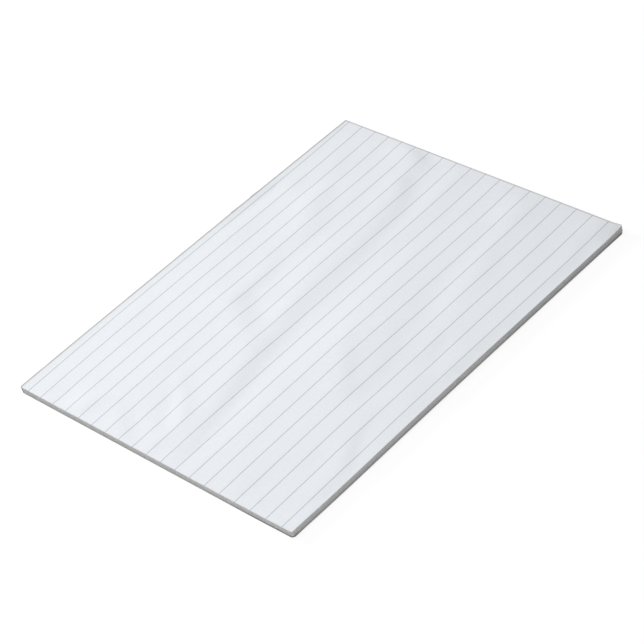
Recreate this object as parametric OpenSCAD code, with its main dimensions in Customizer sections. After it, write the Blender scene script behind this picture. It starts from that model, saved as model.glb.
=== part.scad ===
// Glued writing pad, lying flat with its ruled side up.
// X runs along the ruled lines, +Y points to the glued edge and +Z points up.
// The origin is at the middle of the underside.

/* [Sheets] */
// Length of a sheet, along the ruled lines
sheet_l = 279.4; // [120:0.1:420]
// Width of a sheet, from the glued edge to the free long edge
sheet_w = 215.9; // [90:0.1:300]
// Number of sheets in the pad
sheet_count = 50; // [12:1:100]
// Thickness of one sheet as it lies in the stack
sheet_t = 0.07; // [0.06:0.01:0.2]
// Radius of the sheets' corners at the free long edge
corner_r = 1.2; // [0.6:0.1:6]
// Least amount that a sheet stands back from the edge of the board
step_min = 0.03; // [0.02:0.01:0.08]
// Greatest amount that a sheet stands back from the edge of the board
step_max = 0.12; // [0.1:0.01:0.3]

/* [Ruling] */
// Distance from the glued edge to the first line
rule_head = 4.8; // [4:0.1:40]
// Distance that stays clear below the last line
rule_foot = 5; // [3:0.1:30]
// Distance from the first line to the second
rule_pitch = 10.85; // [5:0.05:20]
// Amount by which each space is wider than the one before it
rule_growth = 0.05; // [0:0.002:0.1]
// Width of a printed line
rule_w = 0.5; // [0.2:0.05:1]
// Thickness of the printed ink
ink_t = 0.02; // [0.01:0.005:0.05]

/* [Backing board] */
// Thickness of the board
board_t = 1.3; // [0.5:0.05:3]
// Radius of the board's corners at the free long edge, blunted by use
board_r = 2.2; // [0.6:0.1:6]

/* [Gum binding] */
// Thickness of the gum film on the glued edge
gum_t = 1; // [0.2:0.05:2]
// Distance that the film stays back from the top sheet and from the underside
gum_inset = 0.05; // [0.05:0.05:0.4]
// Height of the thick runs above the film
run_h = 0.4; // [0.2:0.05:1]
// Length over which a thick run fades out
run_l = 13; // [6:0.5:20]
// Distance from the middle of the glued edge to the first thick run
run_x = 36; // [10:0.5:45]
// Distance from one thick run to the next
run_pitch = 17; // [14:0.5:30]
// Number of thick runs
run_count = 2; // [1:1:3]

/* [Hidden] */

// Depth of the whole pad, from the free edge to the crest of the thick runs
pad_w = sheet_w + gum_t + run_h;
// Place of the free long edge and of the glued edge
front_y = -pad_w / 2;
back_y = front_y + sheet_w;
// Heights of the sheets
block_h = sheet_count * sheet_t;
top_z = board_t + block_h;
// Length by which the ruling is sunk into the top sheet, so that the two are one
ink_bite = sheet_t / 2;
// Radius of the arc of a thick run, from its height and its length
run_r = (run_l * run_l + run_h * run_h) / (2 * run_h);
// Length by which cutting shapes overrun what they cut
overrun = corner_r;
// Angle from one sheet's place in the stack to the next one's, in degrees
stack_angle = 137.5;
// Angles that set the three cut edges apart, in degrees
left_phase = 0;
right_phase = 61;
front_phase = 107;
$fn = 96;

// Amount that one sheet stands back from a cut edge
function set_back(i, phase) =
    step_min + (step_max - step_min) * pow(sin(i * stack_angle + phase), 2);

// Height of the underside of one sheet
function sheet_z(i) = board_t + i * sheet_t;

// Distance of one line from the glued edge
function rule_y(i) = rule_head + i * rule_pitch + rule_growth * i * (i - 1) / 2;

// Most lines that the sheet could hold
rule_most = floor(sheet_w / rule_pitch);

// Stepped edge of the stack, from the lowest sheet to the highest one
function edge_up(phase, at, side) = [
    for (i = [0 : sheet_count - 1], k = [0, 1])
        [at - side * set_back(i, phase), sheet_z(i + k)]
];

// Points of a list in the opposite order
function turned(list) = [for (i = [len(list) - 1 : -1 : 0]) list[i]];

// Section along the pad, stepped at both short edges
long_section = concat(
    edge_up(right_phase, sheet_l / 2, 1),
    turned(edge_up(left_phase, -sheet_l / 2, -1))
);

// Section across the pad, flat at the glued edge and stepped at the free one
cross_section = concat(
    [[back_y, board_t], [back_y, top_z]],
    turned(edge_up(front_phase, front_y, -1))
);

// Outline of a sheet or of the board, square at the glued edge and rounded by r at the free one
module sheet_outline(r) {
    x = sheet_l / 2 - r;
    union() {
        translate([-x, front_y])
            square([2 * x, sheet_w]);
        translate([-sheet_l / 2, front_y + r])
            square([sheet_l, sheet_w - r]);
        for (sx = [-x, x])
            translate([sx, front_y + r])
                circle(r = r);
    }
}

// Stack of sheets, where each sheet ends a little apart from its neighbours
module sheet_stack() {
    intersection() {
        translate([0, back_y + overrun, 0])
            rotate([90, 0, 0])
                linear_extrude(height = sheet_w + 2 * overrun)
                    polygon(long_section);
        translate([-sheet_l / 2 - overrun, 0, 0])
            rotate([90, 0, 90])
                linear_extrude(height = sheet_l + 2 * overrun)
                    polygon(cross_section);
        translate([0, 0, board_t - overrun])
            linear_extrude(height = block_h + 2 * overrun)
                sheet_outline(corner_r);
    }
}

// Printed lines on the top sheet, from one short edge to the other
module ruling() {
    line_l = sheet_l - 2 * step_max;
    for (i = [0 : rule_most])
        if (rule_y(i) <= sheet_w - rule_foot)
            translate([-line_l / 2, back_y - rule_y(i) - rule_w / 2, top_z - ink_bite])
                cube([line_l, rule_w, ink_bite + ink_t]);
}

// All sheets of the pad, with the ruling on the top one
module page_block() {
    color("#f1f4f6")
        sheet_stack();
    color("#c3cbd5")
        ruling();
}

// Stiff board under the sheets
module backing_board() {
    color("#8d8c8a")
        linear_extrude(height = board_t)
            sheet_outline(board_r);
}

// One thick run, blunt at its start and fading towards +X
module gum_run() {
    intersection() {
        square([run_l + overrun, gum_t + run_h + overrun]);
        translate([0, gum_t + run_h - run_r])
            circle(r = run_r, $fn = 720);
    }
}

// Outline of the even film, rounded at the two ends of the glued edge
module film_outline() {
    x = sheet_l / 2 - gum_t;
    union() {
        translate([-x, 0])
            square([2 * x, gum_t]);
        intersection() {
            translate([-sheet_l / 2, 0])
                square([sheet_l, gum_t]);
            for (sx = [-x, x])
                translate([sx, 0])
                    circle(r = gum_t);
        }
    }
}

// Film of gum that holds the sheets and the board together
module gum_binding() {
    color("#c9cac8")
        translate([0, back_y, gum_inset])
            linear_extrude(height = top_z - 2 * gum_inset)
                union() {
                    film_outline();
                    for (i = [0 : run_count - 1])
                        translate([run_x + i * run_pitch, 0])
                            gum_run();
                }
}

page_block();
backing_board();
gum_binding();
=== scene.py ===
"""Looks of a ruled writing pad: its sheets, ruling, board and gum, and a plain studio around them.

The file is laid out as an add-on and run as a script. Lengths are in metres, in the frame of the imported
part: X runs along the ruled lines, +Y points to the glued edge and +Z points up.
"""

import math

import bmesh
import bpy
import numpy as np
from bpy.props import FloatProperty, FloatVectorProperty, IntProperty, PointerProperty
from mathutils import Matrix, Vector


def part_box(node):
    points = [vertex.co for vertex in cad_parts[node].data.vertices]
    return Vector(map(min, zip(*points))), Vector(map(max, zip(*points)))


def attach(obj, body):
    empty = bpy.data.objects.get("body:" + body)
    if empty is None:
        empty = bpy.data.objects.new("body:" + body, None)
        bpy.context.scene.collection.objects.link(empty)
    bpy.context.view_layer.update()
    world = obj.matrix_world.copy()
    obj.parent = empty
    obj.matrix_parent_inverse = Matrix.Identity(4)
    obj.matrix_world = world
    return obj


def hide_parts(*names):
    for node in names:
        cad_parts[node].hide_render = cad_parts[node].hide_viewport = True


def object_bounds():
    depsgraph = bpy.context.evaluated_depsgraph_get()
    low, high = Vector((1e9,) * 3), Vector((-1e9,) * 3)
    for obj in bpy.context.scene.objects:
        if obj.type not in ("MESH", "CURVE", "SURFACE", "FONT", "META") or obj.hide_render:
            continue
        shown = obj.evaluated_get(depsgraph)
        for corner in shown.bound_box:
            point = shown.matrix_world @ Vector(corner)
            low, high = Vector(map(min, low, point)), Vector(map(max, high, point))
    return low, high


bl_info = {
    "name": "Ruled Writing Pad",
    "version": (1, 0, 0),
    "blender": (4, 5, 0),
    "location": "View3D > Sidebar > Pad",
    "description": "Builds the sheets, board and gum of a glued writing pad and a studio to show it in",
    "category": "Add Mesh",
}

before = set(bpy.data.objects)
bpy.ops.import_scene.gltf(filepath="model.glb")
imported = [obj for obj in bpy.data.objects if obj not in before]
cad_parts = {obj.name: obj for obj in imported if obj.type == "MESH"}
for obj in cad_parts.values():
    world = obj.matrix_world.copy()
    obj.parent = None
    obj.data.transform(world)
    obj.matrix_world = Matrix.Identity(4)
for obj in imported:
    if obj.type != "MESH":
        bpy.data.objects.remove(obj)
CAD_LOW, CAD_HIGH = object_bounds()
BOARD_LOW, BOARD_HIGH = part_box("backing_board")
GUM_LOW, GUM_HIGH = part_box("gum_binding")

MM = 0.001

# Length and width of the board and the sheets, without the gum
PAD_LENGTH = BOARD_HIGH.x - BOARD_LOW.x
PAD_WIDTH = BOARD_HIGH.y - BOARD_LOW.y
HALF_LENGTH = PAD_LENGTH / 2

# Height of the top sheet's upper face. The gum ends as far below it as it starts above the floor.
PAPER_TOP = GUM_HIGH.z + GUM_LOW.z
BLOCK_HEIGHT = PAPER_TOP - BOARD_HIGH.z

# Folds of the top sheet, each listed from left to right. A point gives the distance from the left end, the
# distance from the glued edge and half the width of the slope there, in millimetres, and how steeply the
# sheet falls across the fold towards the free edge. Where that is below zero, the sheet rises.
FOLDS = (
    # Main fold, from end to end, and the softer falls beside it towards both ends
    ((-6, 123, 5, 0.095), (8, 122.5, 5, 0.1), (20, 122, 5.5, 0.11), (32, 119.5, 6, 0.11),
     (44, 117.5, 6.5, 0.105), (56, 114.5, 6.5, 0.105), (68, 111, 7, 0.105), (80, 108, 7.5, 0.105),
     (100, 103, 9, 0.115), (120, 98.5, 8.5, 0.105), (140, 96.5, 8, 0.075), (160, 95.5, 8, 0.065),
     (180, 95, 8, 0.085), (200, 93.5, 8.5, 0.1), (220, 90, 8.5, 0.11), (234, 86.5, 7.5, 0.14),
     (243, 82, 7, 0.165), (250, 76, 6.5, 0.21), (258, 74, 6, 0.13), (267, 73, 7, 0.12), (273, 69.5, 8, 0.17),
     (279, 66.5, 9, 0.2), (286, 63, 9, 0.22)),
    ((-6, 109, 7, 0.055), (8, 109, 7, 0.055), (20, 108.5, 7, 0.05), (34, 107, 6, 0.04), (48, 104.5, 6, 0.03),
     (62, 101, 5, 0)),
    ((205, 82, 5, 0), (218, 79, 5, 0.035), (230, 76, 5, 0.055), (239, 73, 5, 0.04), (245, 69, 5, 0)),
    ((244, 92, 5, 0), (252, 87, 6, 0.075), (262, 83.5, 6, 0.07), (272, 82, 6, 0.05), (281, 81, 5, 0)),
    ((186, 110, 4, 0), (198, 110.5, 5, 0.07), (210, 110, 5.5, 0.065), (222, 108.5, 6, 0.04),
     (240, 107, 6.5, 0.022), (256, 106, 6.5, 0.022), (270, 108, 7, 0.035), (284, 109, 7, 0.04)),
    # Second fold, with its deep spot, and the soft falls and rises above and below it
    ((95, 97, 6, 0), (103, 88, 8, 0.11), (109, 78, 8, 0.13), (115, 69, 9, 0.19), (121, 62.5, 8, 0.24),
     (130, 60, 7, 0.17), (142, 60, 6, 0.1), (155, 59, 5, 0.02), (168, 56, 6, -0.05), (180, 54, 6.5, -0.065),
     (192, 52, 7, -0.085), (204, 52, 7, -0.06), (213, 52, 7, -0.045), (222, 47, 8, -0.055), (232, 36, 6, 0),
     (240, 30, 6, 0.04), (255, 22, 5, 0.03), (268, 16, 5, 0)),
    ((94, 63, 6, 0), (103, 58, 8, 0.07), (112, 53, 8, 0.09), (126, 47, 8, 0.09), (140, 44, 6, 0.04),
     (150, 42, 5, 0)),
    ((92, 41, 8, 0), (105, 38, 9, 0.03), (118, 36, 9, 0.045), (130, 35, 9, 0.03), (143, 35, 8, 0)),
    ((104, 90, 6, 0), (112, 84, 7, 0.05), (122, 77, 8, 0.07), (134, 74, 7, 0.06), (146, 70, 6, 0)),
    ((148, 6, 8, 0), (165, 5.5, 9, -0.08), (180, 5.5, 10, -0.12), (195, 5.5, 10, -0.12),
     (210, 5.5, 10, -0.1), (224, 6, 8, 0)),
    ((152, 40, 10, 0), (168, 38, 12, -0.035), (182, 31, 14, -0.1), (196, 27, 14, -0.11),
     (210, 23, 13, -0.095), (221, 20, 9, -0.02), (228, 18, 8, 0)),
    ((162, 46, 5, 0), (172, 45, 6, -0.04), (181, 44.5, 7, -0.09), (190, 43, 7, -0.1), (199, 36, 7, -0.06),
     (210, 32, 6.5, -0.05), (220, 31, 6.5, -0.1), (229, 31, 5, 0)),
    ((138, 79, 6, 0), (150, 74.5, 7.5, -0.045), (164, 70, 8.5, -0.065), (180, 67.5, 8.5, -0.075),
     (200, 65, 8.5, -0.06), (222, 61, 6, 0)),
    ((250, 58, 6, 0), (257, 52, 7, -0.025), (264, 46, 7, -0.035), (270, 38, 6, 0)),
    ((232, 66, 5, 0), (243, 64, 6, 0.03), (254, 61, 6, 0.03), (264, 56, 5, 0)),
    # Falls of the hollow before the middle, and the rises of the bright ridge to its right
    ((88, 176, 8, 0), (98, 171, 10, 0.05), (110, 165, 13, 0.08), (122, 162, 14, 0.085), (136, 162, 14, 0.08),
     (150, 160, 12, 0.06), (164, 155, 10, 0.03), (180, 150, 9, 0)),
    ((85, 172, 4, 0), (94, 168, 5, 0.055), (103, 163, 5, 0.07), (111, 156, 5, 0.06), (118, 149, 4.5, 0.065),
     (124, 144, 4.5, 0.065), (131, 141, 4.5, 0.03), (138, 140, 4, 0)),
    ((88, 178, 5, 0), (97, 175.5, 6.5, 0.08), (108, 175, 5, 0.05), (118, 174, 6, 0.06), (127, 171, 6, 0.07),
     (135, 169, 6, 0.06), (145, 167, 6, 0.03), (154, 164, 6, 0)),
    ((96, 180, 7, 0), (108, 182, 8, 0.04), (120, 183, 8, 0.07), (130, 182, 8, 0.085), (140, 181, 7, 0.085),
     (150, 181, 6.5, 0.07), (160, 183, 6, 0.02), (166, 184, 5, 0)),
    ((150, 182, 7, 0), (164, 177, 8, -0.03), (175, 170, 9.5, -0.075), (190, 165, 9, -0.085),
     (208, 161, 8.5, -0.085), (225, 156.5, 6.5, -0.09), (238, 154.5, 6.5, -0.08), (246, 152, 7.5, -0.085),
     (253, 147.5, 10, -0.09), (259, 145.5, 10.5, -0.095), (266, 143, 9, -0.06), (274, 139, 7, 0)),
    ((186, 148, 12, 0), (202, 146, 14, -0.025), (218, 144, 14, -0.035), (236, 138, 14, -0.035),
     (252, 130, 14, -0.04), (268, 126, 12, -0.02), (276, 124, 10, 0)),
    ((160, 194, 8, 0), (180, 187, 9, -0.03), (205, 180, 9, -0.035), (230, 172, 9, -0.035),
     (250, 165, 8, -0.025), (266, 160, 8, 0)),
    # Long rises beside the main fold and towards the free edge
    ((10, 134, 8, 0), (40, 130, 9, -0.03), (80, 126, 10, -0.045), (105, 126, 12, -0.05),
     (128, 125, 12, -0.06), (150, 122, 10, -0.055), (175, 120, 8, -0.04), (200, 118, 8, -0.025),
     (220, 116, 8, 0)),
    ((6, 152, 14, 0), (30, 148, 16, -0.03), (60, 146, 17, -0.035), (90, 144, 14, -0.035), (112, 136, 9, 0)),
    ((18, 170, 9, 0), (40, 166, 12, -0.03), (60, 165, 12, -0.035), (80, 162, 11, -0.025), (92, 158, 8, 0)),
    ((12, 192, 8, 0), (30, 186, 9, -0.05), (58, 180, 9, -0.04), (82, 178, 8, -0.035), (94, 176, 6, 0)),
    # Small folds near the free edge
    ((46, 213, 4, 0), (54, 208, 4, 0.08), (62, 203, 4, 0.12), (71, 199, 4, 0.1), (80, 196.5, 3.5, 0.06),
     (92, 196, 3.5, 0)),
    ((18, 198, 7, 0), (32, 201, 7, -0.08), (46, 198, 7, -0.08), (58, 191, 6, -0.05), (70, 187, 6, 0)),
    ((104, 206, 5, 0), (112, 204.5, 5, 0.06), (120, 202, 5, 0.08), (128, 203, 5, 0.05), (136, 206, 5, 0)),
    ((106, 194, 5, 0), (118, 193, 6, 0.04), (130, 192, 6, 0.055), (142, 190, 4.5, 0.11),
     (150, 188.5, 4.5, 0.11), (159, 186, 4, 0)),
    ((204, 200, 8, 0), (212, 192, 8, -0.05), (220, 184, 8, -0.03), (228, 176, 7, 0)),
    ((242, 207, 5, 0), (252, 205, 6, 0.07), (262, 205, 6, 0.08), (271, 206, 6, 0.1), (284, 207, 6, 0.1)),
    ((40, 213.5, 5, 0), (90, 213.5, 5, 0.05), (130, 213.5, 5, 0.08), (160, 213.5, 5, 0.09),
     (200, 213.5, 5, 0.06), (240, 213.5, 5, 0.11), (279, 213.5, 5, 0.12)),
    # Small folds towards the left end
    ((16, 108, 5, 0), (24, 102, 5, -0.12), (32, 95, 5, -0.12), (42, 86, 4, -0.08), (50, 79, 4, 0)),
    ((38, 107, 4, 0), (44, 96, 4.5, 0.06), (50, 87, 4, 0.07), (57, 79, 4.5, 0.1), (64, 73, 4, 0)),
    ((-4, 191, 6, 0.1), (6, 188, 6, 0.08), (16, 184, 6, 0)),
    ((-4, 200, 7, 0.06), (6, 200, 7, 0.06), (16, 200, 7, 0.025), (26, 200, 6, 0)),
    ((-4, 174, 6, 0.05), (6, 174, 6, 0.05), (14, 171, 6, 0.025), (24, 168, 5, 0)),
    ((0, 90, 5, 0.1), (8, 82, 5, 0.12), (15, 72, 5, 0.12), (19, 64, 4, 0.07), (21, 58, 4, 0)),
    ((0, 45, 4, 0.05), (10, 49, 4, 0.06), (18, 55, 4, 0.03), (24, 60, 4, 0)),
    ((0, 37, 9, -0.06), (12, 36, 9, -0.07), (24, 34, 8, 0)),
    ((44, 72, 5, 0), (52, 66, 5, 0.06), (66, 64.5, 5, 0.075), (80, 66, 5, 0)),
    ((62, 20, 8, 0), (72, 18, 9, 0.03), (80, 20, 9, 0.04), (88, 24, 8, 0)),
)

# Swells of the whole pad along its free edge: the distance from the left end, half the length and the lift,
# in millimetres
SWELLS = ((52, 16, -0.14), (130, 38, 0.18))

# Distances over which the swells and the curled corner fade out
SWELL_REACH = 70 * MM
CURL_REACH = 32 * MM

# Distance over which the fanned corner fades out along the free edge, and how many times sooner it does so
# along the short edge
FAN_REACH = 20 * MM
FAN_SQUEEZE = 2.1

# Distances over which the ruling bends at its left and right ends, and leans at the glued edge
LEFT_BEND_REACH = 100 * MM
RIGHT_BEND_REACH = 60 * MM
LEAN_REACH = 25 * MM

# Width of the strips at the long edges over which these bends set in
BEND_STRIP = 5 * MM

# Width of the rim without folds and of the strip over which they set in, and how many times sooner they do
# so at the short ends
CALM_RIM = 1.5 * MM
CALM_STRIP = 7 * MM
CALM_SQUEEZE = 1.6

# Columns and rows of the grids that the pieces start from, and the depth of the rows cut between two lines
STACK_GRID = (48, 36)
TOP_GRID = (140, 1)
BOARD_GRID = (96, 72)
GUM_GRID = (500, 24)
ROW_DEPTH = 2.2 * MM

# Facets of a rounded corner and of a softened edge, and the profile that makes both round
CORNER_FACETS = 5
EDGE_FACETS = 2
ROUND_PROFILE = 0.5

# Angles below which faces that meet are shaded as one
CARD_ANGLE = math.radians(30)
SHEET_ANGLE = math.radians(40)
GUM_ANGLE = math.radians(50)

# Angle from one sheet's place in the stack to the next one's, and the angles that set the left, right and
# free edges apart, in degrees
STACK_ANGLE = 137.5
EDGE_PHASES = (0, 61, 107)

# Least amount that a sheet stands back from the edge of the board, as a share of the edge step
LEAST_STEP_SHARE = 0.3

# Rim and depth of the hollow in the stack that leaves room for the top sheet's folds
HOLLOW_RIM = 1.5 * MM
HOLLOW_DEPTH = 1.2 * MM

# Softening of the board's edges, with the least angle in radians and the most rise of an edge that gets it
SOFTENING = 0.14 * MM
SHARP_ANGLE = 1.0
LEVEL_RISE = 0.01 * MM

# Loss of thickness of the gum film that makes room for its waves, in millimetres, and each wave's height,
# turn along the film, turn up the film and start
FILM_LOSS = 0.07
FILM_WAVES = ((0.03, 0.31, 4.0, 0.0), (0.02, 0.87, 0.0, 1.7), (0.02, 0.05, 19.0, 0.0))

# Starts of the thick runs of gum from the middle of the glued edge, the lead and the length of their blunt
# front, the length over which they fade out, all in millimetres, and the power by which they do
RUN_STARTS = (36.0, 53.0)
RUN_LEAD = 1.2
RUN_FRONT = 1.6
RUN_LENGTH = 13
RUN_POWER = 1.4

# Share of its full thickness that the gum film has at its foot
FOOT_SHARE = 0.4

# Start and slope of the smooth step by which the film comes to its full thickness at its two long borders
BORDER_START = 0.8
BORDER_SLOPE = 8

# Power by which the film's columns crowd to its ends, and how far the round ends go, as a share of their
# radius
CROWDING_POWER = 1.5
END_SHARE = 0.85

# Greyed bands of the top sheet: painted shade at the right end, as a narrow rim and a faint broad band; gum
# and painted edge shade at the glued edge; and a stain of gum beside it. Each gives the distances from an
# edge where a band is full and where it has faded out
END_SHADE_RIM = (0.6 * MM, 1.5 * MM)
END_SHADE_BAND = (0.0, 16.0 * MM)
GUM_AND_EDGE_SHADE_BAND = (0.2 * MM, 1.1 * MM)
STAINED_BAND = (1.0 * MM, 9.0 * MM)

# Shares of the rim's colour that the painted shade, the gum and the stain of the top sheet take. The share
# of the stained band counts within that of the gum and edge shade.
END_SHADE_SHARE = 0.06
GUM_AND_EDGE_SHADE_SHARE = 0.7
STAINED_SHARE = 0.12
CORNER_SHADE_SHARE = 0.75
FREE_EDGE_SHADE_SHARE = 0.1

# Spots of painted shade on the top sheet, at the right corner and along the free edge, and on the board, at
# its two free corners: the middle, how many times the distance from it counts along, across and up the pad,
# and the reach
CORNER_SHADE_SPOT = ((BOARD_HIGH.x, BOARD_LOW.y, 0.0), (1.0, 2.0, 0.0), 26 * MM)
FREE_EDGE_SHADE_SPOT = ((BOARD_LOW.x + 135 * MM, BOARD_LOW.y, 0.0), (0.7, 1.0, 0.0), 58 * MM)
BOARD_LEFT_SHADE_SPOT = ((BOARD_LOW.x, BOARD_LOW.y + 12 * MM, 0.0), (6.0, 1.0, 1.0), 60 * MM)
BOARD_RIGHT_SHADE_SPOT = ((BOARD_HIGH.x, BOARD_LOW.y, 0.0), (1.0, 1.0, 1.0), 26 * MM)

# Depths of the fine relief of the paper, the ink, the cut edges, the board and the gum
PAPER_TOOTH = 0.03 * MM
INK_TOOTH = 0.02 * MM
CUT_RIDGES = 0.05 * MM
BOARD_FELT = 0.06 * MM
GUM_STROKES = 0.12 * MM

# Floor of the studio: its side, its colour for the light that it gives back, its colour and its glow as the
# camera sees it
FLOOR_SIDE = 8
FLOOR_COLOUR = (0.75, 0.75, 0.75, 1.0)
SHADOW_COLOUR = (0.15, 0.15, 0.15, 1.0)
FLOOR_GLOW = 0.89
WHITE = (1.0, 1.0, 1.0, 1.0)

# Soft lamps of the studio: the name, the place and the diameter
LAMPS = (
    ("back_lamp", (-0.22, 2.2, 0.78), 1.1),
    ("overhead_lamp", (-0.14, 0.07, 0.62), 0.45),
    ("front_lamp", (-0.3, -0.55, 0.15), 0.3),
)

# Width of the camera's sensor in millimetres, and the nearest and farthest things that it sees
SENSOR_WIDTH = 36
CLIP_START = 0.05
CLIP_END = 50


class PadSizes(bpy.types.PropertyGroup):
    """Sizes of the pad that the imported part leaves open"""

    sheet_count: IntProperty(name="Sheets", description="Number of sheets in the pad", default=50, min=2)
    corner: FloatProperty(
        name="Corner", description="Radius of the sheets' corners at the free edge",
        default=1.2 * MM, unit="LENGTH")
    board_corner: FloatProperty(
        name="Board corner", description="Radius of the board's corners at the free edge",
        default=2.2 * MM, unit="LENGTH")
    step: FloatProperty(
        name="Edge step", description="How far the sheets stand apart at the cut edges",
        default=0.09 * MM, unit="LENGTH")
    arch: FloatProperty(
        name="Arch",
        description="How far the middle of the pad stands off the floor, as its board has warped",
        default=0.62 * MM, unit="LENGTH")
    curl: FloatProperty(
        name="Curled corner", description="How far the left corner at the free edge stands off the floor",
        default=0.5 * MM, unit="LENGTH")
    fan: FloatProperty(
        name="Fanned corner",
        description="How far the top sheet is lifted at the right corner of the free edge",
        default=1.0 * MM, unit="LENGTH")
    rule_head: FloatProperty(
        name="First line", description="Distance from the glued edge to the first line",
        default=4.8 * MM, unit="LENGTH")
    rule_pitch: FloatProperty(
        name="Line spacing", description="Distance from the first line to the second",
        default=10.85 * MM, unit="LENGTH")
    rule_growth: FloatProperty(
        name="Spacing growth", description="How much wider each space is than the one before it",
        default=0.05 * MM, unit="LENGTH")
    rule_count: IntProperty(name="Lines", description="Number of ruled lines", default=19, min=1)
    rule_width: FloatProperty(
        name="Line width", description="Width of a printed line", default=0.5 * MM, unit="LENGTH")
    bend_left: FloatProperty(
        name="Left bend", description="How far the lines bend to the free edge at their left ends",
        default=0.95 * MM, unit="LENGTH")
    bend_right: FloatProperty(
        name="Right bend", description="How far the lines bend to the glued edge at their right ends",
        default=1.5 * MM, unit="LENGTH")
    lean: FloatProperty(
        name="Lean",
        description="How far the first lines lean to the glued edge at the right and away at the left",
        default=0.8 * MM, unit="LENGTH")
    gum: FloatProperty(
        name="Gum film", description="Thickness of the gum film between its thick runs",
        default=1.0 * MM, unit="LENGTH")
    relief: FloatProperty(
        name="Fold relief",
        description="Share of the listed steepness that the folds of the top sheet have",
        default=0.56, min=0.0, max=3.0)


class PadColours(bpy.types.PropertyGroup):
    """Colours of the pad's finishes"""

    paper: FloatVectorProperty(
        name="Paper", description="Colour of the sheets", subtype="COLOR", default=(0.869, 0.897, 0.931))
    ink: FloatVectorProperty(
        name="Ruling", description="Colour of the printed lines", subtype="COLOR",
        default=(0.465, 0.512, 0.55))
    # Grey of the painted shade near the top sheet's edges and of the gum at its glued edge
    rim: FloatVectorProperty(
        name="Rim", description="Colour of the top sheet's rim, greyed by handling", subtype="COLOR",
        default=(0.63, 0.64, 0.65))
    cut_edge: FloatVectorProperty(
        name="Cut edge", description="Colour of the cut edges of the stack", subtype="COLOR",
        default=(0.735, 0.735, 0.735))
    board: FloatVectorProperty(
        name="Board", description="Colour of the backing board", subtype="COLOR",
        default=(0.50, 0.495, 0.485))
    gum: FloatVectorProperty(
        name="Gum", description="Colour of the gum film", subtype="COLOR", default=(0.44, 0.44, 0.435))


class PadStudio(bpy.types.PropertyGroup):
    """Camera and lights of the studio"""

    azimuth: FloatProperty(
        name="Azimuth", description="Turn of the camera round the pad",
        default=math.radians(-37.39), subtype="ANGLE")
    elevation: FloatProperty(
        name="Elevation", description="Height of the camera above the floor, as an angle",
        default=math.radians(39.57), subtype="ANGLE")
    roll: FloatProperty(
        name="Roll", description="Tilt of the camera about its own axis",
        default=math.radians(15.17), subtype="ANGLE")
    distance: FloatProperty(
        name="Distance", description="Distance from the camera to the point it looks at",
        default=1.3451, unit="LENGTH")
    aim: FloatVectorProperty(
        name="Aim", description="Point that the camera looks at", subtype="XYZ", unit="LENGTH",
        default=(-0.00985, -0.00994, 0.0048))
    lens: FloatProperty(
        name="Lens", description="Focal length of the camera in millimetres", default=133.67, min=1.0)
    back_power: FloatProperty(
        name="Back lamp", description="Power in watts of the soft lamp behind the glued edge",
        default=54.0, min=0.0)
    over_power: FloatProperty(
        name="Overhead lamp", description="Power in watts of the soft lamp over the left end",
        default=1.36, min=0.0)
    front_power: FloatProperty(
        name="Front lamp", description="Power in watts of the weak lamp before the free edge",
        default=0.36, min=0.0)
    fill: FloatProperty(
        name="Fill", description="Strength of the even light of the room", default=0.30, min=0.0)


def clear_selection():
    """Deselect every object, so that the next operator acts on the new piece alone"""
    if bpy.context.mode != "OBJECT":
        bpy.ops.object.mode_set(mode="OBJECT")
    bpy.ops.object.select_all(action="DESELECT")


def select_all(kind):
    """Select the whole piece in edit mode, by its vertices, edges or faces"""
    bpy.ops.mesh.select_mode(type=kind)
    bpy.ops.mesh.select_all(action="SELECT")


def select_some(piece, kind, wanted):
    """Select the vertices, edges or faces of the piece in edit mode that the test accepts"""
    bpy.ops.mesh.select_mode(type=kind)
    bpy.ops.mesh.select_all(action="DESELECT")
    shape = bmesh.from_edit_mesh(piece.data)
    kinds = {"VERT": shape.verts, "EDGE": shape.edges, "FACE": shape.faces}
    for element in kinds[kind]:
        if wanted(element):
            element.select_set(True)
    bmesh.update_edit_mesh(piece.data)


def start_piece(name, scale):
    """Name and scale the grid that was just added, and leave it in edit mode"""
    piece = bpy.context.active_object
    piece.name = name
    piece.data.name = name
    piece.scale = scale
    bpy.ops.object.transform_apply(location=True, rotation=True, scale=True)
    bpy.ops.object.mode_set(mode="EDIT")
    return piece


def add_sheet(name, z, grid):
    """Add a flat sheet of the pad's outline at height z and leave it in edit mode"""
    clear_selection()
    middle = (BOARD_LOW + BOARD_HIGH) / 2
    columns, rows = grid
    bpy.ops.mesh.primitive_grid_add(
        x_subdivisions=columns, y_subdivisions=rows, size=1, location=(middle.x, middle.y, z))
    return start_piece(name, (PAD_LENGTH, PAD_WIDTH, 1))


def round_corners(piece, z, radius):
    """Round the two corners at the free edge of a flat sheet in edit mode"""
    places = [Vector((x, BOARD_LOW.y, z)) for x in (BOARD_LOW.x, BOARD_HIGH.x)]
    reach = radius / 10
    select_some(piece, "VERT", lambda vertex: any((vertex.co - place).length < reach for place in places))
    bpy.ops.mesh.bevel(
        offset=radius, offset_type="OFFSET", segments=CORNER_FACETS, profile=ROUND_PROFILE,
        affect="VERTICES")


def positions(piece):
    """Places of the piece's vertices as rows of x, y and z"""
    found = np.empty(len(piece.data.vertices) * 3)
    piece.data.vertices.foreach_get("co", found)
    return found.reshape(-1, 3)


def set_positions(piece, places):
    """Write back the places of the piece's vertices"""
    piece.data.vertices.foreach_set("co", places.ravel())
    piece.data.update()


def smooth_rise(value):
    """Smooth step of values from 0 to 1"""
    held = value.clip(0, 1)
    return held * held * (3 - 2 * held)


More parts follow.
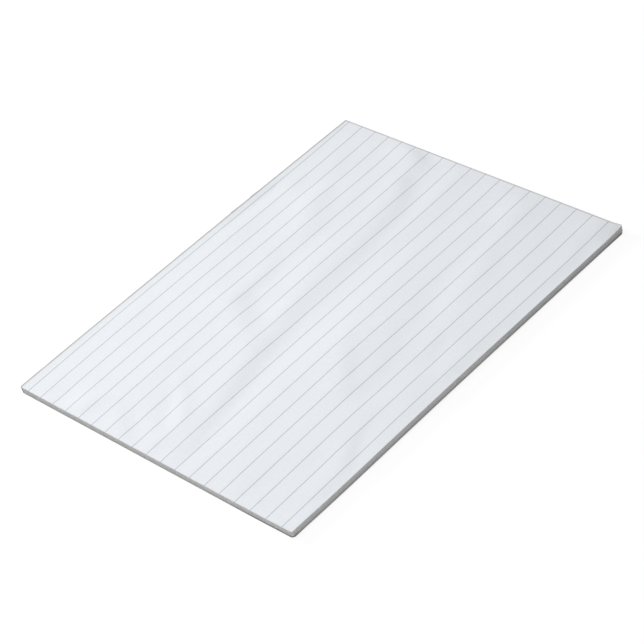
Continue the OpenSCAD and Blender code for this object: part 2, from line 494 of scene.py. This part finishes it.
def warp(piece, sizes):
    """Bend the piece as the whole pad is warped: arched, with swells, a curled corner and a fanned one"""
    places = positions(piece)
    from_left = places[:, 0] - BOARD_LOW.x
    from_right = BOARD_HIGH.x - places[:, 0]
    from_free = places[:, 1] - BOARD_LOW.y
    upper = ((places[:, 2] - BOARD_HIGH.z) / BLOCK_HEIGHT).clip(0, 1)
    lift = sizes.arch * (1 - (places[:, 0] / HALF_LENGTH) ** 2)
    lift += sizes.curl * smooth_rise(1 - np.hypot(from_left, from_free) / CURL_REACH)
    fan = (1 - np.hypot(from_right, FAN_SQUEEZE * from_free) / FAN_REACH).clip(0, 1) ** 2
    lift += sizes.fan * upper * fan
    for place, half_length, height in SWELLS:
        swell = np.exp(-0.5 * ((from_left / MM - place) / half_length) ** 2)
        lift += height * MM * swell * smooth_rise(1 - from_free / SWELL_REACH)
    places[:, 2] += lift
    set_positions(piece, places)


def close_up(piece, angle):
    """Turn all faces outwards, leave edit mode and smooth the faces that meet at less than the angle"""
    select_all("VERT")
    bpy.ops.mesh.normals_make_consistent(inside=False)
    bpy.ops.object.mode_set(mode="OBJECT")
    clear_selection()
    piece.select_set(True)
    bpy.context.view_layer.objects.active = piece
    bpy.ops.object.shade_smooth_by_angle(angle=angle)


def hand_over(piece, node):
    """Put a finished piece on the pad's body and let it stand for its CAD node"""
    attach(piece, "root")
    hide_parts(node)


class Shade:
    """One output of a shader node, for use in plain arithmetic"""

    def __init__(self, tree, out=None):
        self.tree = tree
        self.out = out

    def node(self, kind, settings=None, inputs=None, output=0):
        """Add a node of a kind, set it up, feed its sockets and return one of its outputs"""
        made = self.tree.nodes.new(kind)
        for name, value in (settings or {}).items():
            setattr(made, name, value)
        for key, value in (inputs or {}).items():
            self.feed(made.inputs[key], value)
        return Shade(self.tree, made.outputs[output])

    def feed(self, socket, value):
        """Link a varying value to a socket, or set one that is the same all over"""
        if isinstance(value, Shade):
            self.tree.links.new(value.out, socket)
        else:
            socket.default_value = value

    def math(self, operation, other):
        """Result of one Math node on this value and another"""
        return self.node("ShaderNodeMath", {"operation": operation}, {0: self, 1: other})

    def __add__(self, other):
        return self.math("ADD", other)

    def __sub__(self, other):
        return self.math("SUBTRACT", other)

    def __mul__(self, other):
        return self.math("MULTIPLY", other)

    def swing(self, amount):
        """How far the value departs from one half, times an amount"""
        return (self - 0.5) * amount

    def spread(self, low, high):
        """A value from 0 to 1 laid out from low to high"""
        return self * (high - low) + low

    def clamp(self):
        """The value held between 0 and 1"""
        return self.node("ShaderNodeClamp", None, {"Value": self})

    def ramp(self, low, high):
        """Smooth rise from 0 at low to 1 at high"""
        return self.node(
            "ShaderNodeMapRange", {"interpolation_type": "SMOOTHSTEP"},
            {"Value": self, "From Min": low, "From Max": high})

    def band(self, edge, full, clear):
        """1 up to a distance from an edge at the high end of this value, fading to 0 at a greater one"""
        return self.ramp(edge - clear, edge - full)

    def part(self, axis):
        """One part of a vector"""
        return self.node("ShaderNodeSeparateXYZ", None, {0: self}, axis)

    def stretched(self, scale):
        """A vector with its parts scaled one by one"""
        return self.node("ShaderNodeVectorMath", {"operation": "MULTIPLY"}, {0: self, 1: scale})

    def near(self, spot, stretch, reach):
        """1 at a spot, falling to 0 at the reach, with the parts of the distance stretched one by one"""
        offset = self.node("ShaderNodeVectorMath", {"operation": "SUBTRACT"}, {0: self, 1: spot})
        way = offset.stretched(stretch)
        gap = way.node("ShaderNodeVectorMath", {"operation": "LENGTH"}, {0: way}, "Value")
        return gap.ramp(reach, 0.0)

    def noise(self, scale, detail=2.0, roughness=0.5):
        """Cloudy noise at these coordinates"""
        return self.node(
            "ShaderNodeTexNoise", None,
            {"Vector": self, "Scale": scale, "Detail": detail, "Roughness": roughness})

    def mix(self, first, second):
        """Blend of two colours, with this value as the share of the second"""
        # Sockets 6 and 7 and output 2 of this node are the ones for colours
        return self.node("ShaderNodeMix", {"data_type": "RGBA"}, {"Factor": self, 6: first, 7: second}, 2)

    def tint(self, colour, dark, light):
        """A colour between two gains, with this value as the share of the lighter one"""
        return self.mix(rgba(colour, dark), rgba(colour, light))

    def bump(self, strength, depth):
        """Normal of a surface that this value raises"""
        return self.node(
            "ShaderNodeBump", None, {"Strength": strength, "Distance": depth, "Height": self})


def rgba(colour, gain=1.0):
    """A colour with full cover, made lighter or darker by a gain"""
    return tuple(min(part * gain, 1.0) for part in colour) + (1.0,)


def new_finish(name):
    """A new material and the coordinates of the piece that wears it"""
    material = bpy.data.materials.new(name)
    material.use_nodes = True
    place = Shade(material.node_tree).node("ShaderNodeTexCoord", output="Object")
    return material, place


def dress(material, place, colour, roughness, normal, specular):
    """Feed the surface shader of a material"""
    surface = material.node_tree.nodes["Principled BSDF"]
    place.feed(surface.inputs["Base Color"], colour)
    place.feed(surface.inputs["Roughness"], roughness)
    place.feed(surface.inputs["Normal"], normal)
    place.feed(surface.inputs["Specular IOR Level"], specular)
    return material


def paper_finish(colours):
    """Uncoated writing paper: faint clouds and a fine tooth, painted shade at its edges, gum at the glued
    one
    """
    material, place = new_finish("writing_paper")
    clouds = place.noise(scale=26.0, detail=3.0)
    fibre = place.stretched((1.0, 0.6, 1.0)).noise(scale=1500.0, detail=4.0, roughness=0.65)
    tooth = place.noise(scale=5200.0)
    mottle = place.noise(scale=760.0)
    tone = (clouds.swing(0.5) + mottle.swing(2.4) + fibre.swing(1.0) + 0.5).clamp()
    clean = tone.tint(colours.paper, dark=0.975, light=1.02)
    along = place.part(0)
    across = place.part(1)
    # Painted shade at the right end: a dark rim and a faint broad darkening
    end_shade = along.band(BOARD_HIGH.x, *END_SHADE_RIM) + along.band(BOARD_HIGH.x, *END_SHADE_BAND) * END_SHADE_SHARE
    # Gum at the glued edge together with painted shade of that edge, and a faint stain of gum beside it
    gum_and_edge_shade = across.band(BOARD_HIGH.y, *GUM_AND_EDGE_SHADE_BAND) + across.band(BOARD_HIGH.y, *STAINED_BAND) * STAINED_SHARE
    # Painted shade at the right corner of the free edge
    corner_shade = place.near(*CORNER_SHADE_SPOT) * CORNER_SHADE_SHARE
    # Painted shade along the middle of the free edge
    free_edge_shade = place.near(*FREE_EDGE_SHADE_SPOT) * FREE_EDGE_SHADE_SHARE
    # Painted shade and gum together, as the share of the rim's grey
    darkening = (end_shade + gum_and_edge_shade * GUM_AND_EDGE_SHADE_SHARE + corner_shade + free_edge_shade).clamp()
    colour = darkening.mix(clean, rgba(colours.rim))
    normal = (fibre * 0.6 + tooth * 0.4).bump(strength=0.18, depth=PAPER_TOOTH)
    return dress(material, place, colour, fibre.spread(0.78, 0.94), normal, specular=0.08)


def ink_finish(colours):
    """Printed line: thin ink that follows the tooth of the paper"""
    material, place = new_finish("ruling_ink")
    tooth = place.noise(scale=4200.0, detail=3.0)
    normal = tooth.bump(strength=0.12, depth=INK_TOOTH)
    return dress(material, place, rgba(colours.ink), tooth.spread(0.62, 0.82), normal, specular=0.3)


def cut_edge_finish(colours):
    """Cut edges of the stack: lines of single sheets, crossed by fine knife marks, and painted shade near
    the board
    """
    material, place = new_finish("cut_sheet_edges")
    layers = place.stretched((9.0, 9.0, 11000.0)).noise(scale=1.0, roughness=0.6)
    bands = place.stretched((3.0, 3.0, 1500.0)).noise(scale=1.0)
    knife = place.stretched((1300.0, 1300.0, 90.0)).noise(scale=1.0, detail=3.0, roughness=0.6)
    # Painted shade: the cut edges grow lighter from the board up to the top sheet
    lift = place.part(2).ramp(BOARD_HIGH.z, GUM_HIGH.z)
    tone = (layers.swing(0.8) + bands.swing(0.5) + knife.swing(0.9) + lift * 0.4 + 0.3).clamp()
    colour = tone.tint(colours.cut_edge, dark=0.80, light=1.18)
    normal = (layers * 0.6 + knife * 0.4).bump(strength=0.5, depth=CUT_RIDGES)
    return dress(material, place, colour, knife.spread(0.86, 0.96), normal, specular=0.2)


def board_finish(colours):
    """Grey chipboard: pressed waste paper with light and dark fibres, and painted shade at its two free
    corners
    """
    material, place = new_finish("grey_chipboard")
    felt = place.stretched((1.0, 0.5, 3.0)).noise(scale=420.0, detail=5.0, roughness=0.7)
    clouds = place.noise(scale=38.0, detail=3.0)
    flecks = place.stretched((1.0, 0.35, 2.0)).noise(scale=900.0)
    light = flecks.ramp(0.66, 0.74) * 0.55
    dark = flecks.ramp(0.34, 0.27) * 0.5
    tone = (felt.swing(0.9) + clouds.swing(0.6) + 0.5).clamp()
    ground = tone.tint(colours.board, dark=0.78, light=1.22)
    with_light = light.mix(ground, rgba(colours.board, gain=1.8))
    with_dark = dark.mix(with_light, rgba(colours.board, gain=0.4))
    # Painted shade at the two free corners, as of a contact shadow where the board meets the floor
    darkening = (place.near(*BOARD_LEFT_SHADE_SPOT) + place.near(*BOARD_RIGHT_SHADE_SPOT)).clamp()
    colour = darkening.mix(with_dark, rgba(colours.board, gain=0.54))
    normal = felt.bump(strength=0.45, depth=BOARD_FELT)
    return dress(material, place, colour, felt.spread(0.85, 0.97), normal, specular=0.2)


def gum_finish(colours):
    """Dried padding gum: a rubbery film with strokes of the brush along it"""
    material, place = new_finish("padding_gum")
    strokes = place.stretched((16.0, 1.0, 2600.0)).noise(scale=1.0, detail=3.0, roughness=0.6)
    clouds = place.stretched((1.0, 1.0, 2.0)).noise(scale=120.0, detail=3.0)
    tone = (strokes.swing(0.9) + clouds.swing(0.7) + 0.5).clamp()
    colour = tone.tint(colours.gum, dark=0.82, light=1.16)
    normal = (strokes * 0.7 + clouds * 0.3).bump(strength=0.5, depth=GUM_STROKES)
    return dress(material, place, colour, strokes.spread(0.36, 0.56), normal, specular=0.45)


def fold_height(across, down):
    """Height of the folds at these distances from the left end and from the glued edge, in millimetres"""
    height = np.zeros_like(across)
    for points in FOLDS:
        nearest = np.full_like(across, np.inf)
        fold = np.zeros_like(across)
        for (u0, v0, width0, fall0), (u1, v1, width1, fall1) in zip(points, points[1:]):
            du, dv = u1 - u0, v1 - v0
            along = (((across - u0) * du + (down - v0) * dv) / (du * du + dv * dv)).clip(0, 1)
            gap_u, gap_v = across - u0 - along * du, down - v0 - along * dv
            gap = np.hypot(gap_u, gap_v)
            width = width0 + (width1 - width0) * along
            ratio = np.sign(gap_v * du - gap_u * dv) * gap / width
            fall = fall0 + (fall1 - fall0) * along
            fold = np.where(gap < nearest, -fall * width * ratio * np.exp(-0.5 * ratio ** 2), fold)
            nearest = np.minimum(nearest, gap)
        height += fold
    return height


def shape_top_sheet(piece, sizes):
    """Bend the ends of the ruling a little, and give the sheet its soft folds"""
    places = positions(piece)
    from_left = HALF_LENGTH + places[:, 0]
    from_right = HALF_LENGTH - places[:, 0]
    from_glue = BOARD_HIGH.y - places[:, 1]
    from_free = places[:, 1] - BOARD_LOW.y
    from_sides = np.minimum(from_glue, from_free)
    from_ends = np.minimum(from_left, from_right)
    bend = sizes.bend_right * (1 - from_right / RIGHT_BEND_REACH).clip(0, 1) ** 2
    bend -= sizes.bend_left * (1 - from_left / LEFT_BEND_REACH).clip(0, 1) ** 2
    bend += sizes.lean * places[:, 0] / HALF_LENGTH * (1 - from_glue / LEAN_REACH).clip(0, 1)
    places[:, 1] += smooth_rise(from_sides / BEND_STRIP) * bend
    calm = smooth_rise((np.minimum(from_sides, CALM_SQUEEZE * from_ends) - CALM_RIM) / CALM_STRIP)
    folds = fold_height(from_left / MM, (BOARD_HIGH.y - places[:, 1]) / MM)
    places[:, 2] += sizes.relief * calm * folds * MM
    set_positions(piece, places)


def line_places(sizes):
    """Distance of each ruled line from the glued edge"""
    return [
        sizes.rule_head + i * sizes.rule_pitch + sizes.rule_growth * i * (i - 1) / 2
        for i in range(sizes.rule_count)
    ]


class PAD_OT_backing_board(bpy.types.Operator):
    """Make the stiff board under the sheets, with edges softened by the cut"""

    bl_idname = "pad.backing_board"
    bl_label = "Backing Board"

    def execute(self, context):
        sizes = context.scene.pad_sizes
        piece = add_sheet("backing_board_piece", BOARD_LOW.z, BOARD_GRID)
        round_corners(piece, BOARD_LOW.z, sizes.board_corner)
        select_all("FACE")
        bpy.ops.mesh.extrude_region_move(
            TRANSFORM_OT_translate={"value": (0, 0, BOARD_HIGH.z - BOARD_LOW.z)})
        select_all("FACE")
        bpy.ops.mesh.normals_make_consistent(inside=False)
        select_some(piece, "EDGE", self.is_rim)
        bpy.ops.mesh.bevel(offset=SOFTENING, segments=EDGE_FACETS, profile=ROUND_PROFILE, affect="EDGES")
        close_up(piece, CARD_ANGLE)
        warp(piece, sizes)
        piece.data.materials.append(board_finish(context.scene.pad_colours))
        hand_over(piece, "backing_board")
        return {"FINISHED"}

    @staticmethod
    def is_rim(edge):
        """Whether an edge of the board is sharp and level"""
        start, end = edge.verts
        return edge.calc_face_angle(0) > SHARP_ANGLE and abs(start.co.z - end.co.z) < LEVEL_RISE


class PAD_OT_sheet_stack(bpy.types.Operator):
    """Stack the sheets under the top one, each a little apart from its neighbours at the cut edges"""

    bl_idname = "pad.sheet_stack"
    bl_label = "Sheet Stack"

    def execute(self, context):
        sizes = context.scene.pad_sizes
        thick = BLOCK_HEIGHT / sizes.sheet_count
        last = sizes.sheet_count - 2
        piece = add_sheet("sheet_stack", BOARD_HIGH.z, STACK_GRID)
        round_corners(piece, BOARD_HIGH.z, sizes.corner)
        select_all("FACE")
        before = (0.0, 0.0, 0.0)
        for i in range(last + 1):
            after = self.set_back(i, sizes.step)
            self.draw_in(*(new - old for new, old in zip(after, before)))
            bpy.ops.mesh.extrude_region_move(TRANSFORM_OT_translate={"value": (0, 0, thick)})
            if i < last:
                bpy.ops.mesh.extrude_region_move(TRANSFORM_OT_translate={"value": (0, 0, 0)})
            before = after
        bpy.ops.mesh.inset(thickness=HOLLOW_RIM, depth=-HOLLOW_DEPTH)
        close_up(piece, CARD_ANGLE)
        warp(piece, sizes)
        piece.data.materials.append(cut_edge_finish(context.scene.pad_colours))
        hand_over(piece, "page_block")
        return {"FINISHED"}

    @staticmethod
    def set_back(i, step):
        """How far one sheet stands back at its left, right and free edges"""
        return [
            LEAST_STEP_SHARE * step + step * math.sin(math.radians(STACK_ANGLE * i + phase)) ** 2
            for phase in EDGE_PHASES
        ]

    @staticmethod
    def draw_in(from_left, from_right, from_free):
        """Move the selected face's right and left edges in, and its free edge by half with each of them"""
        for pin, inwards in ((BOARD_LOW.x, from_right), (BOARD_HIGH.x, from_left)):
            bpy.ops.transform.resize(
                value=(1 - inwards / PAD_LENGTH, 1 - from_free / 2 / PAD_WIDTH, 1),
                center_override=(pin, BOARD_HIGH.y, BOARD_HIGH.z))


class PAD_OT_top_sheet(bpy.types.Operator):
    """Lay the ruled top sheet on the stack, with its printed lines and soft folds"""

    bl_idname = "pad.top_sheet"
    bl_label = "Top Sheet"

    def execute(self, context):
        sizes = context.scene.pad_sizes
        colours = context.scene.pad_colours
        piece = add_sheet("top_sheet", PAPER_TOP, TOP_GRID)
        lines = line_places(sizes)
        self.cut_rows(lines, sizes.rule_width)
        round_corners(piece, PAPER_TOP, sizes.corner)
        piece.data.materials.append(paper_finish(colours))
        piece.data.materials.append(ink_finish(colours))
        half = sizes.rule_width / 2
        select_some(piece, "FACE", lambda face: any(
            abs(BOARD_HIGH.y - face.calc_center_median().y - place) < half for place in lines))
        piece.active_material_index = 1
        bpy.ops.object.material_slot_assign()
        bpy.ops.object.mode_set(mode="OBJECT")
        shape_top_sheet(piece, sizes)
        body = piece.modifiers.new("body", "SOLIDIFY")
        body.thickness = BLOCK_HEIGHT / sizes.sheet_count
        body.offset = -1
        bpy.ops.object.modifier_apply(modifier=body.name)
        bpy.ops.object.mode_set(mode="EDIT")
        close_up(piece, SHEET_ANGLE)
        warp(piece, sizes)
        hand_over(piece, "page_block")
        return {"FINISHED"}

    @staticmethod
    def cut_rows(lines, line_width):
        """Cut the flat sheet along both sides of each line, and into rows between the lines"""
        edges = [0.0] + [place + side * line_width / 2 for place in lines for side in (-1, 1)]
        edges.append(PAD_WIDTH)
        rows = set(edges[1:-1])
        for start, end in zip(edges[0::2], edges[1::2]):
            parts = max(2, round((end - start) / ROW_DEPTH))
            rows.update(start + (end - start) * k / parts for k in range(1, parts))
        for row in sorted(rows):
            bpy.ops.mesh.select_all(action="SELECT")
            bpy.ops.mesh.bisect(plane_co=(0, BOARD_HIGH.y - row, 0), plane_no=(0, 1, 0))


class PAD_OT_gum_binding(bpy.types.Operator):
    """Brush the film of gum on the glued edge, with its two thick runs"""

    bl_idname = "pad.gum_binding"
    bl_label = "Gum Binding"

    def execute(self, context):
        sizes = context.scene.pad_sizes
        clear_selection()
        columns, rows = GUM_GRID
        bpy.ops.mesh.primitive_grid_add(
            x_subdivisions=columns, y_subdivisions=rows, size=1,
            location=(0, BOARD_HIGH.y, (GUM_LOW.z + GUM_HIGH.z) / 2), rotation=(-math.pi / 2, 0, 0))
        piece = start_piece("gum_film", (GUM_HIGH.x - GUM_LOW.x, GUM_HIGH.z - GUM_LOW.z, 1))
        bpy.ops.mesh.select_all(action="SELECT")
        bpy.ops.mesh.extrude_region_move(TRANSFORM_OT_translate={"value": (0, sizes.gum, 0)})
        bpy.ops.object.mode_set(mode="OBJECT")
        self.brush(piece, sizes.gum)
        bpy.ops.object.mode_set(mode="EDIT")
        close_up(piece, GUM_ANGLE)
        warp(piece, sizes)
        piece.data.materials.append(gum_finish(context.scene.pad_colours))
        hand_over(piece, "gum_binding")
        return {"FINISHED"}

    @staticmethod
    def brush(piece, thick):
        """Give the outer side of the film its uneven thickness, its round ends and its thinner foot"""
        places = positions(piece)
        outer = places[:, 1] > BOARD_HIGH.y + thick / 2
        share = (np.abs(places[:, 0]) / GUM_HIGH.x).clip(0, 1)
        places[:, 0] = np.sign(places[:, 0]) * GUM_HIGH.x * (1 - (1 - share) ** CROWDING_POWER)
        along = places[:, 0] / MM
        rise = (places[:, 2] - GUM_LOW.z) / (GUM_HIGH.z - GUM_LOW.z)
        film = np.full_like(along, thick / MM - FILM_LOSS)
        for height, turn_along, turn_up, start in FILM_WAVES:
            film += height * np.sin(along * turn_along + rise * turn_up + start)
        for start in RUN_STARTS:
            ahead = along - start
            front = smooth_rise((ahead + RUN_LEAD) / RUN_FRONT)
            fade = (1 - (ahead / RUN_LENGTH).clip(0, 1)) ** RUN_POWER
            film += (GUM_HIGH.y - BOARD_HIGH.y - thick) / MM * front * fade
        border = smooth_rise(np.minimum(rise, 1 - rise) * BORDER_SLOPE + BORDER_START)
        to_end = ((np.abs(places[:, 0]) - GUM_HIGH.x + thick) / thick).clip(0, END_SHARE)
        film *= border * np.sqrt(1 - to_end ** 2) * (FOOT_SHARE + (1 - FOOT_SHARE) * rise)
        places[:, 1] = np.where(outer, BOARD_HIGH.y + film * MM, places[:, 1])
        set_positions(piece, places)


class PAD_OT_studio(bpy.types.Operator):
    """Set up the floor, the soft lamps, the light of the room and the camera"""

    bl_idname = "pad.studio"
    bl_label = "Studio"

    def execute(self, context):
        studio = context.scene.pad_studio
        context.scene.view_settings.view_transform = "Standard"
        self.floor(context)
        self.lamps(context, studio)
        self.room(context, studio)
        self.camera(context, studio)
        return {"FINISHED"}

    @staticmethod
    def in_view(tree):
        """1 for rays that come from the camera, by way of gloss or glass too, and 0 for all others"""
        path = Shade(tree).node("ShaderNodeLightPath").out.node
        direct = Shade(tree, path.outputs["Is Camera Ray"])
        glossy = Shade(tree, path.outputs["Is Glossy Ray"])
        through = Shade(tree, path.outputs["Is Transmission Ray"])
        return (direct + glossy + through).clamp()

    def floor(self, context):
        """Pale floor that looks white to the camera and keeps the pad's shadow"""
        clear_selection()
        bpy.ops.mesh.primitive_plane_add(size=FLOOR_SIDE, location=(0, 0, CAD_LOW.z))
        floor = context.active_object
        floor.name = "floor"
        bpy.ops.object.transform_apply(location=True, rotation=True, scale=True)
        material = bpy.data.materials.new("pale_floor")
        material.use_nodes = True
        tree = material.node_tree
        tree.nodes.remove(tree.nodes["Principled BSDF"])
        shown = self.in_view(tree)
        matt = shown.node("ShaderNodeBsdfDiffuse", None, {"Color": FLOOR_COLOUR})
        shadow = shown.node("ShaderNodeBsdfDiffuse", None, {"Color": SHADOW_COLOUR})
        glow = shown.node("ShaderNodeEmission", None, {"Color": WHITE, "Strength": FLOOR_GLOW})
        pale = shown.node("ShaderNodeAddShader", None, {0: shadow, 1: glow})
        both = shown.node("ShaderNodeMixShader", None, {0: shown, 1: matt, 2: pale})
        tree.links.new(both.out, tree.nodes["Material Output"].inputs["Surface"])
        floor.data.materials.append(material)

    @staticmethod
    def lamps(context, studio):
        """Three soft lamps: behind the glued edge, over the left end and, weaker, before the free edge"""
        powers = (studio.back_power, studio.over_power, studio.front_power)
        for (name, place, size), power in zip(LAMPS, powers):
            clear_selection()
            bpy.ops.object.light_add(type="AREA", location=place)
            lamp = context.active_object
            lamp.name = name
            lamp.data.shape = "DISK"
            lamp.data.size = size
            lamp.data.energy = power
            lamp.rotation_euler = (-Vector(place)).to_track_quat("-Z", "Y").to_euler()

    def room(self, context, studio):
        """Even light of the room, which looks white to the camera"""
        world = bpy.data.worlds.new("room")
        context.scene.world = world
        world.use_nodes = True
        light = world.node_tree.nodes["Background"]
        light.inputs["Color"].default_value = WHITE
        shown = self.in_view(world.node_tree)
        shown.feed(light.inputs["Strength"], shown.spread(studio.fill, 1.0))

    @staticmethod
    def camera(context, studio):
        """Camera at the photograph's angle, with its roll"""
        back = Vector((
            math.sin(studio.azimuth) * math.cos(studio.elevation),
            -math.cos(studio.azimuth) * math.cos(studio.elevation),
            math.sin(studio.elevation)))
        ahead = -back
        level = ahead.cross(Vector((0, 0, 1))).normalized()
        upright = level.cross(ahead)
        up = upright * math.cos(studio.roll) + level * math.sin(studio.roll)
        right = ahead.cross(up)
        clear_selection()
        bpy.ops.object.camera_add(location=Vector(studio.aim) + back * studio.distance)
        camera = context.active_object
        camera.name = "camera"
        camera.rotation_euler = Matrix((right, up, back)).transposed().to_euler()
        camera.data.lens = studio.lens
        camera.data.sensor_width = SENSOR_WIDTH
        camera.data.clip_start = CLIP_START
        camera.data.clip_end = CLIP_END
        context.scene.camera = camera


class VIEW3D_PT_pad(bpy.types.Panel):
    """Sidebar page that lists the pad's sizes, colours, studio and pieces"""

    bl_label = "Ruled Writing Pad"
    bl_space_type = "VIEW_3D"
    bl_region_type = "UI"
    bl_category = "Pad"

    def draw(self, context):
        layout = self.layout
        for group in (context.scene.pad_sizes, context.scene.pad_colours, context.scene.pad_studio):
            box = layout.box()
            for name in group.__annotations__:
                box.prop(group, name)
        for operator in OPERATORS:
            layout.operator(operator.bl_idname)


GROUPS = (PadSizes, PadColours, PadStudio)
OPERATORS = (PAD_OT_backing_board, PAD_OT_sheet_stack, PAD_OT_top_sheet, PAD_OT_gum_binding, PAD_OT_studio)
CLASSES = GROUPS + OPERATORS + (VIEW3D_PT_pad,)


def register():
    """Add the pad's classes and settings to Blender"""
    for cls in CLASSES:
        bpy.utils.register_class(cls)
    bpy.types.Scene.pad_sizes = PointerProperty(type=PadSizes)
    bpy.types.Scene.pad_colours = PointerProperty(type=PadColours)
    bpy.types.Scene.pad_studio = PointerProperty(type=PadStudio)


def unregister():
    """Remove the pad's classes and settings from Blender"""
    del bpy.types.Scene.pad_studio
    del bpy.types.Scene.pad_colours
    del bpy.types.Scene.pad_sizes
    for cls in reversed(CLASSES):
        bpy.utils.unregister_class(cls)


def main():
    """Build the pad and its studio"""
    register()
    bpy.ops.pad.backing_board()
    bpy.ops.pad.sheet_stack()
    bpy.ops.pad.top_sheet()
    bpy.ops.pad.gum_binding()
    bpy.ops.pad.studio()


if __name__ == "__main__":
    main()
